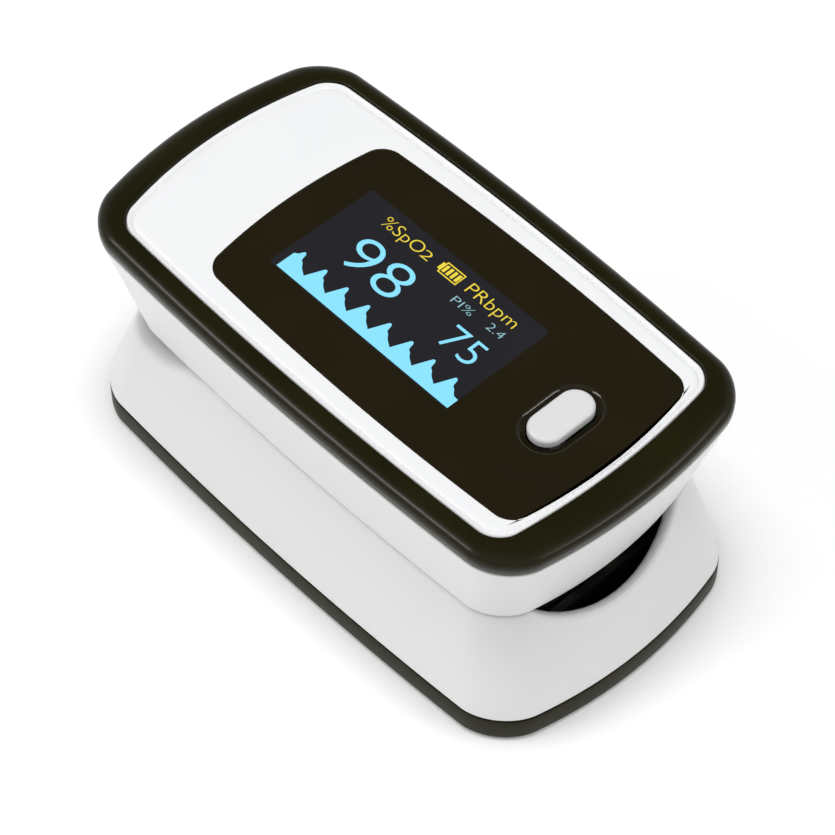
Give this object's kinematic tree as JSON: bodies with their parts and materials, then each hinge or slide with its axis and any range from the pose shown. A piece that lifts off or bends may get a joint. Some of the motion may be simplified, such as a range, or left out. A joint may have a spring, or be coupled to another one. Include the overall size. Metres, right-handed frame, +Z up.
{
  "type": "fingertip pulse oximeter",
  "caption": "Clip-on fingertip pulse oximeter: two spring-closed jaws with finger pads, a display and a push button on top, and a battery compartment under the foot.",
  "frame": {"origin": "middle of the underside, on the surface that it stands on", "axes": "+Z up, +Y along the length towards the hinge end, -Y the finger's mouth and the button end, +X across the width"},
  "size_m": [0.0334, 0.0616, 0.0281],
  "materials": {
    "white_case": "white moulded ABS, satin gloss",
    "white_panel": "white gloss cover plate",
    "dark_rim": "very dark olive brown gloss ABS",
    "dark_base": "dark olive satin ABS",
    "lens": "dark tinted acrylic window, polished",
    "button": "white push cap, satin gloss",
    "display": "OLED glass, off-black with lit figures",
    "foam": "black foam gasket",
    "circuit_board": "green solder mask",
    "chip": "black epoxy package",
    "switch": "tinned steel switch housing",
    "tray": "black moulded ABS, fine texture",
    "finger_pad": "soft matt black silicone",
    "led": "pale LED package",
    "photodiode": "dark photodiode die under clear resin",
    "window": "clear red-tinted polycarbonate disc",
    "cell": "plain grey sleeve on a steel can",
    "contact": "nickel-plated spring steel",
    "fastener": "zinc-plated steel",
    "ribbon": "amber polyimide ribbon"
  },
  "bodies": {
    "lower_jaw": {"lower_case": "white_case", "base_band": "dark_base", "sensor_board": "circuit_board", "lower_tray": "tray", "battery_cradle": "tray", "lower_finger_pad": "finger_pad", "photodiode": "photodiode", "sensor_window": "window", "battery_1": "cell", "battery_2": "cell", "battery_spring_1": "contact", "battery_spring_2": "contact", "battery_terminal_1": "contact", "battery_terminal_2": "contact", "battery_link_plate": "contact", "hinge_pin": "fastener", "torsion_spring_left": "contact", "torsion_spring_right": "contact", "flex_cable": "ribbon", "lower_screw_1": "fastener", "lower_screw_2": "fastener", "lower_screw_3": "fastener", "lower_screw_4": "fastener"},
    "upper_jaw": {"upper_case": "white_case", "rim_band": "dark_rim", "top_panel": "white_panel", "display_lens": "lens", "display_module": "display", "display_gasket": "foam", "main_board": "circuit_board", "processor_chip": "chip", "tact_switch": "switch", "upper_tray": "tray", "upper_finger_pad": "finger_pad", "emitter_board": "circuit_board", "emitter_led": "led", "emitter_window": "window", "upper_screw_1": "fastener", "upper_screw_2": "fastener", "upper_screw_3": "fastener", "upper_screw_4": "fastener"},
    "button": {"power_button": "button"},
    "cover": {"battery_cover": "dark_base"}
  },
  "joints": [
    {"name": "jaw_hinge", "type": "hinge", "parent": "lower_jaw", "child": "upper_jaw", "pos_m": [0, 0.019, 0.0155], "axis": [-1, 0, 0], "range_deg": [0, 11], "stiffness_Nm_per_rad": 0.14, "springref_deg": -20.05, "deforming": ["torsion_spring_left", "torsion_spring_right", "flex_cable"]},
    {"name": "power_button_press", "type": "slide", "parent": "upper_jaw", "child": "button", "axis": [0, 0, -1], "range_m": [0, 0.0005], "stiffness_N_per_m": 600, "springref_m": -0.0005},
    {"name": "battery_cover_slide", "type": "slide", "parent": "lower_jaw", "child": "cover", "axis": [0, 1, 0], "range_m": [0, 0.04]}
  ]
}
